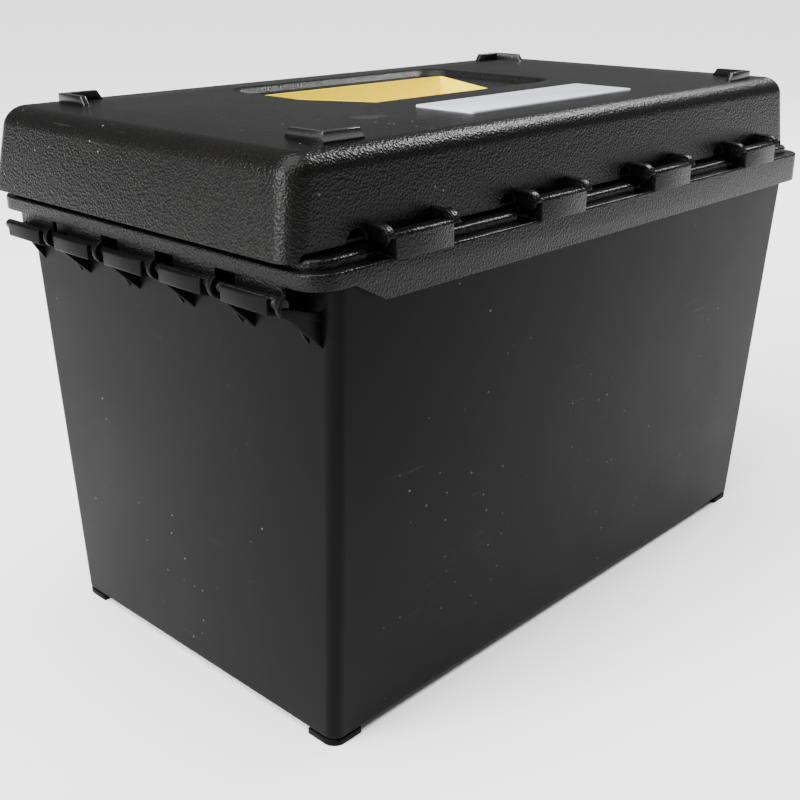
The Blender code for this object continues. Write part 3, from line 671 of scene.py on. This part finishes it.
def make_ears():
    """Each ear is a thin tongue round the hinge pin under a curved hood that grows out of the rear wall."""
    wall_y = lid_low[2] + lid_wall / 2
    inner = ear_radius - ear_hood_wall
    hood = arc(hinge, ear_radius, 90, ear_hood_turn, 14)
    hood += arc(hinge, inner, ear_hood_turn, 90, 14)
    hood += [(wall_y, hinge[1] + inner), (wall_y, hinge[1] + ear_radius)]
    tongue = arc(hinge, inner + sunk, 90, ear_hood_turn, 12)
    tongue += arc(hinge, ear_tongue_radius, ear_hood_turn, 270, 10)
    tongue += [(wall_y, rear_wall_foot + sunk), (wall_y, hinge[1] + inner + sunk)]
    ears = []
    for number, start in enumerate(knuckle_starts, 1):
        near = start - ear_gap
        far = start + knuckle_length + ear_gap
        for side, hood_start, web_start in (("left", near - ear_length, near - ear_web), ("right", far, far)):
            roof = add_bar(f"ear_hood_{side}_{number}", hood, "X", hood_start, ear_length, thin_soft)
            web = add_bar(f"ear_tongue_{side}_{number}", tongue, "X", web_start + tiny, ear_web - tiny,
                          tongue_soft)
            ears += [roof, web]
    return ears


def make_bosses():
    """L-shaped ridges at the corners of the top, the arms sloping down at their ends."""
    bosses = []
    foot = lid_top - boss_sink
    top = lid_top + boss_height
    for side_x in (-1, 1):
        for corner_y, side_y in ((boss_corner[1], -1), (boss_corner[2], 1)):
            corner = (side_x * boss_corner[0], corner_y)
            arms = [(0, 0), (boss_arm, 0), (boss_arm, boss_wall),
                    (boss_wall, boss_wall), (boss_wall, boss_arm), (0, boss_arm)]
            outline = [(corner[0] - side_x * u, corner[1] - side_y * v) for u, v in arms]
            boss = add_bar(f"corner_boss_{len(bosses) + 1}", outline, "Z", foot, top - foot)
            pick(boss, "VERT", lambda v: v.co.z > top - tiny and abs(v.co.x - corner[0]) > boss_arm - tiny)
            bpy.ops.transform.translate(value=(side_x * boss_slope, 0, 0))
            leave()
            pick(boss, "VERT", lambda v: v.co.z > top - tiny and abs(v.co.y - corner[1]) > boss_arm - tiny)
            bpy.ops.transform.translate(value=(0, side_y * boss_slope, 0))
            leave()
            pick(boss, "FACE", lambda f: abs(f.normal.z) > 0.9)
            bpy.ops.mesh.dissolve_faces()
            leave()
            soften(boss, corner_soft, 3, 30)
            bosses.append(boss)
    return bosses


def make_label_plate():
    plate = add_block("name_plate", label, label_foot, label_top)
    round_edges(plate, upright, label_corner, 6)
    round_edges(plate, rim_at(label_top), label_rim_round, 2)
    return plate


def make_cup():
    cup = cup_block("keystone_cup", cup_gap, cup_foot, recess_level, cup_corner)
    round_edges(cup, rim_at(cup_foot), cup_foot_round, 4)
    open_top(cup, recess_level)
    thicken(cup, cup_wall)
    return cup


def make_cup_flange():
    flange = cup_block("keystone_flange", -flange_reach, flange_low, flange_high, cup_corner + flange_reach)
    carve(flange, cup_block("flange_mouth", flange_lap, flange_cutter_low, flange_cutter_high, cup_corner))
    return flange


# Finishes
def node(material, kind, **values):
    made = material.node_tree.nodes.new(kind)
    for name, value in values.items():
        if name in made.inputs:
            made.inputs[name].default_value = value
        else:
            setattr(made, name, value)
    return made


def connect(material, start, end):
    material.node_tree.links.new(start, end)


def ramp(material, factor, low, high, low_colour=(0, 0, 0), high_colour=(1, 1, 1)):
    made = node(material, "ShaderNodeValToRGB")
    made.color_ramp.elements[0].position = low
    made.color_ramp.elements[0].color = (*low_colour, 1)
    made.color_ramp.elements[1].position = high
    made.color_ramp.elements[1].color = (*high_colour, 1)
    connect(material, factor, made.inputs["Fac"])
    return made.outputs["Color"]


def blend_colours(material, factor, first, second):
    made = node(material, "ShaderNodeMix", data_type="RGBA")
    connect(material, factor, made.inputs["Factor"])
    for socket, colour in ((made.inputs[6], first), (made.inputs[7], second)):
        if isinstance(colour, tuple):
            socket.default_value = (*colour, 1)
        else:
            connect(material, colour, socket)
    return made.outputs[2]


def multiply(material, first, second):
    made = node(material, "ShaderNodeMath", operation="MULTIPLY")
    connect(material, first, made.inputs[0])
    connect(material, second, made.inputs[1])
    return made.outputs["Value"]


def noise(material, place, **values):
    made = node(material, "ShaderNodeTexNoise", **values)
    connect(material, place, made.inputs["Vector"])
    return made.outputs["Fac"]


def worn_edges(material, place, soft, rubbed, colour):
    """Rubbed colour, in patches, where the softened normal turns away from the true one."""
    flat = node(material, "ShaderNodeNewGeometry")
    turned = node(material, "ShaderNodeVectorMath", operation="DOT_PRODUCT")
    connect(material, soft.outputs["Normal"], turned.inputs[0])
    connect(material, flat.outputs["Normal"], turned.inputs[1])
    worn = ramp(material, turned.outputs["Value"], 0.8, 0.985, (1, 1, 1), (0, 0, 0))
    patch = noise(material, place, Scale=160.0, Detail=3.0)
    wear = multiply(material, worn, ramp(material, patch, 0.35, 0.62))
    return blend_colours(material, wear, colour, rubbed)


def dust_and_scuffs(material, place, dusty, rubbed, colour):
    """Pale specks and fine slanting scuffs, both only where a slow noise allows them."""
    specks = node(material, "ShaderNodeTexVoronoi", Scale=130.0, Randomness=1.0)
    connect(material, place, specks.inputs["Vector"])
    drift = noise(material, place, Scale=14.0, Detail=5.0, Roughness=0.7)
    speck = ramp(material, specks.outputs["Distance"], 0.05, 0.09, (1, 1, 1), (0, 0, 0))
    dust = multiply(material, speck, ramp(material, drift, 0.5, 0.6))
    colour = blend_colours(material, dust, colour, dusty)
    stretch = node(material, "ShaderNodeMapping")
    stretch.inputs["Scale"].default_value = (30, 30, 420)
    stretch.inputs["Rotation"].default_value = (0.5, 0.35, 0.2)
    connect(material, place, stretch.inputs["Vector"])
    streaks = noise(material, stretch.outputs["Vector"], Scale=1.0, Detail=3.0, Roughness=0.5)
    scuffs = multiply(material, ramp(material, streaks, 0.65, 0.72), ramp(material, drift, 0.53, 0.64))
    return blend_colours(material, scuffs, colour, rubbed)


def hazy_sheen(material, place, shader, rough):
    haze = noise(material, place, Scale=26.0, Detail=5.0, Roughness=0.65)
    sheen = node(material, "ShaderNodeMapRange")
    sheen.inputs["To Min"].default_value = rough[0]
    sheen.inputs["To Max"].default_value = rough[1]
    connect(material, haze, sheen.inputs["Value"])
    connect(material, sheen.outputs["Result"], shader.inputs["Roughness"])


def raised_skin(material, place, shader, soft, grain):
    """A pebbled skin of the given size and depth, or without one a faint satin unevenness."""
    lift = node(material, "ShaderNodeBump", Strength=1.0)
    connect(material, soft.outputs["Normal"], lift.inputs["Normal"])
    if grain:
        pebbles = node(material, "ShaderNodeTexVoronoi", feature="SMOOTH_F1", Scale=1 / grain[0],
                       Smoothness=0.6)
        lift.inputs["Distance"].default_value = grain[1]
    else:
        pebbles = node(material, "ShaderNodeTexNoise", Scale=70.0, Detail=6.0, Roughness=0.7)
        lift.inputs["Distance"].default_value = satin_depth
    connect(material, place, pebbles.inputs["Vector"])
    connect(material, pebbles.outputs[0], lift.inputs["Height"])
    connect(material, lift.outputs["Normal"], shader.inputs["Normal"])


def moulded(name, deep, faded, rubbed, rough, grain=None, gloss=0.3, edge=0.0006, dusty=(0.09, 0.09, 0.09)):
    """Moulded plastic: cloudy colour, rubbed edges, dust, scuffs, and a pebbled or a satin skin."""
    material = bpy.data.materials.new(name)
    material.use_nodes = True
    shader = material.node_tree.nodes["Principled BSDF"]
    shader.inputs["Specular IOR Level"].default_value = gloss
    place = node(material, "ShaderNodeTexCoord").outputs["Object"]
    clouds = noise(material, place, Scale=9.0, Detail=4.0, Roughness=0.6)
    colour = blend_colours(material, ramp(material, clouds, 0.35, 0.7), deep, faded)
    soft = node(material, "ShaderNodeBevel", samples=4, Radius=edge)
    colour = worn_edges(material, place, soft, rubbed, colour)
    colour = dust_and_scuffs(material, place, dusty, rubbed, colour)
    connect(material, colour, shader.inputs["Base Color"])
    hazy_sheen(material, place, shader, rough)
    raised_skin(material, place, shader, soft, grain)
    return material


satin_depth = 0.00005
pebble_grain = (0.0011, 0.00022)
smooth_black = moulded("smooth_black_plastic", (0.0011, 0.0011, 0.0012), (0.0018, 0.0018, 0.002),
                       (0.012, 0.012, 0.0125), (0.36, 0.46), gloss=0.04)
grained_black = moulded("grained_black_plastic", (0.0011, 0.0011, 0.0011), (0.0018, 0.0017, 0.0017),
                        (0.014, 0.014, 0.0135), (0.26, 0.34), pebble_grain, gloss=0.11)
grained_lid = moulded("grained_lid_plastic", (0.0014, 0.0013, 0.0012), (0.0024, 0.0022, 0.002),
                      (0.016, 0.0155, 0.015), (0.28, 0.37), pebble_grain, gloss=0.11)
polished_black = moulded("polished_black_plastic", (0.002, 0.002, 0.002), (0.003, 0.003, 0.003),
                         (0.03, 0.03, 0.03), (0.16, 0.24), gloss=0.45)
cup_yellow = moulded("cup_yellow_plastic", (0.8, 0.66, 0.0), (0.84, 0.69, 0.0), (0.88, 0.74, 0.01),
                     (0.5, 0.6), gloss=0.04, dusty=(0.8, 0.68, 0.05))
plate_silver = moulded("plate_silver_film", (0.44, 0.46, 0.53), (0.52, 0.54, 0.61), (0.7, 0.68, 0.52),
                       (0.26, 0.4), gloss=0.3, dusty=(0.6, 0.6, 0.62))
pin_steel = moulded("pin_steel", (0.42, 0.42, 0.43), (0.55, 0.55, 0.56), (0.7, 0.7, 0.7),
                    (0.2, 0.34), gloss=0.5, edge=0.0003)
pin_steel.node_tree.nodes["Principled BSDF"].inputs["Metallic"].default_value = 1


def dress(name, material):
    slots = nodes[name].data.materials
    slots.clear()
    slots.append(material)


# The pieces, each on its body
tub_shell = make_tub_shell()
for piece in ([tub_shell, make_tub_skids(), make_rail_end()] + make_troughs()
              + make_hook_ribs() + make_gussets()):
    finish(piece, "tub_body", smooth_black)
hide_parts("tub")

collar = make_collar()
bead = make_coaming()
cut_ear_slots(collar)
cut_ear_slots(bead)
for piece in ([collar, bead, make_basin(), make_hinge_bead()] + make_knuckles() + make_hook_teeth()):
    finish(piece, "tray_body", grained_black)
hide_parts("compartment_tray")

lid_shell = make_lid_shell()
make_label_pocket(lid_shell)
for piece in ([lid_shell, make_stop_rib()] + make_ears()):
    finish(piece, "lid_body", grained_lid)
for piece in make_bosses():
    finish(piece, "lid_body", polished_black)
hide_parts("lid")

name_plate = make_label_plate()
finish(name_plate, "lid_body", plate_silver)
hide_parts("label_plate")
cup = make_cup()
finish(cup, "lid_body", cup_yellow)
finish(make_cup_flange(), "lid_body", cup_yellow)
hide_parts("accessory_cup")

for number in range(1, 5):
    dress(f"lid_hinge_pin_{number}", pin_steel)
for divider in ("long_divider", "rear_divider_1", "rear_divider_2", "rear_divider_3",
                "front_divider_1", "front_divider_2"):
    dress(divider, grained_black)


# Studio
def pale_floor():
    material = bpy.data.materials.new("pale_floor")
    material.use_nodes = True
    shader = material.node_tree.nodes["Principled BSDF"]
    shader.inputs["Base Color"].default_value = (0.9, 0.9, 0.9, 1)
    shader.inputs["Roughness"].default_value = 0.8
    shader.inputs["Specular IOR Level"].default_value = 0.1
    return material


bpy.ops.object.select_all(action="DESELECT")
bpy.ops.mesh.primitive_plane_add(size=60, location=(0, 0, 0))
floor = bpy.context.active_object
floor.name = "studio_floor"
floor.data.materials.append(pale_floor())


def lamp(name, place, target, size, power):
    light = bpy.data.lights.new(name, "AREA")
    light.shape = "RECTANGLE"
    light.size, light.size_y = size
    light.energy = power
    item = bpy.data.objects.new(name, light)
    item.location = place
    item.rotation_euler = (Vector(target) - Vector(place)).to_track_quat("-Z", "Y").to_euler()
    bpy.context.scene.collection.objects.link(item)


lamp("left_softbox", (-2.2, 0.3, 1.1), (0, 0, 0.2), (1.6, 1.4), 160)
lamp("right_strip", (1.75, -0.1, 1.75), (0, 0, 0.25), (0.7, 0.5), 52)
sky_data = bpy.data.lights.new("overhead_bank", "SUN")
sky_data.energy = 7
sky_data.angle = math.radians(60)
sky = bpy.data.objects.new("overhead_bank", sky_data)
sky.rotation_euler = (0, math.radians(-12), 0)
bpy.context.scene.collection.objects.link(sky)

world = bpy.data.worlds.new("studio_world")
world.use_nodes = True
world.node_tree.nodes["Background"].inputs["Color"].default_value = (1, 1, 1, 1)
world.node_tree.nodes["Background"].inputs["Strength"].default_value = 0.3
bpy.context.scene.world = world

camera_data = bpy.data.cameras.new("photo_camera")
camera_data.sensor_width = 36
camera_data.lens = 51.1
camera = bpy.data.objects.new("photo_camera", camera_data)
camera.location = (-0.47329, -0.42452, 0.3444)
camera.rotation_euler = Vector((0.6748, 0.6409, -0.3659)).to_track_quat("-Z", "Y").to_euler()
bpy.context.scene.collection.objects.link(camera)
bpy.context.scene.camera = camera
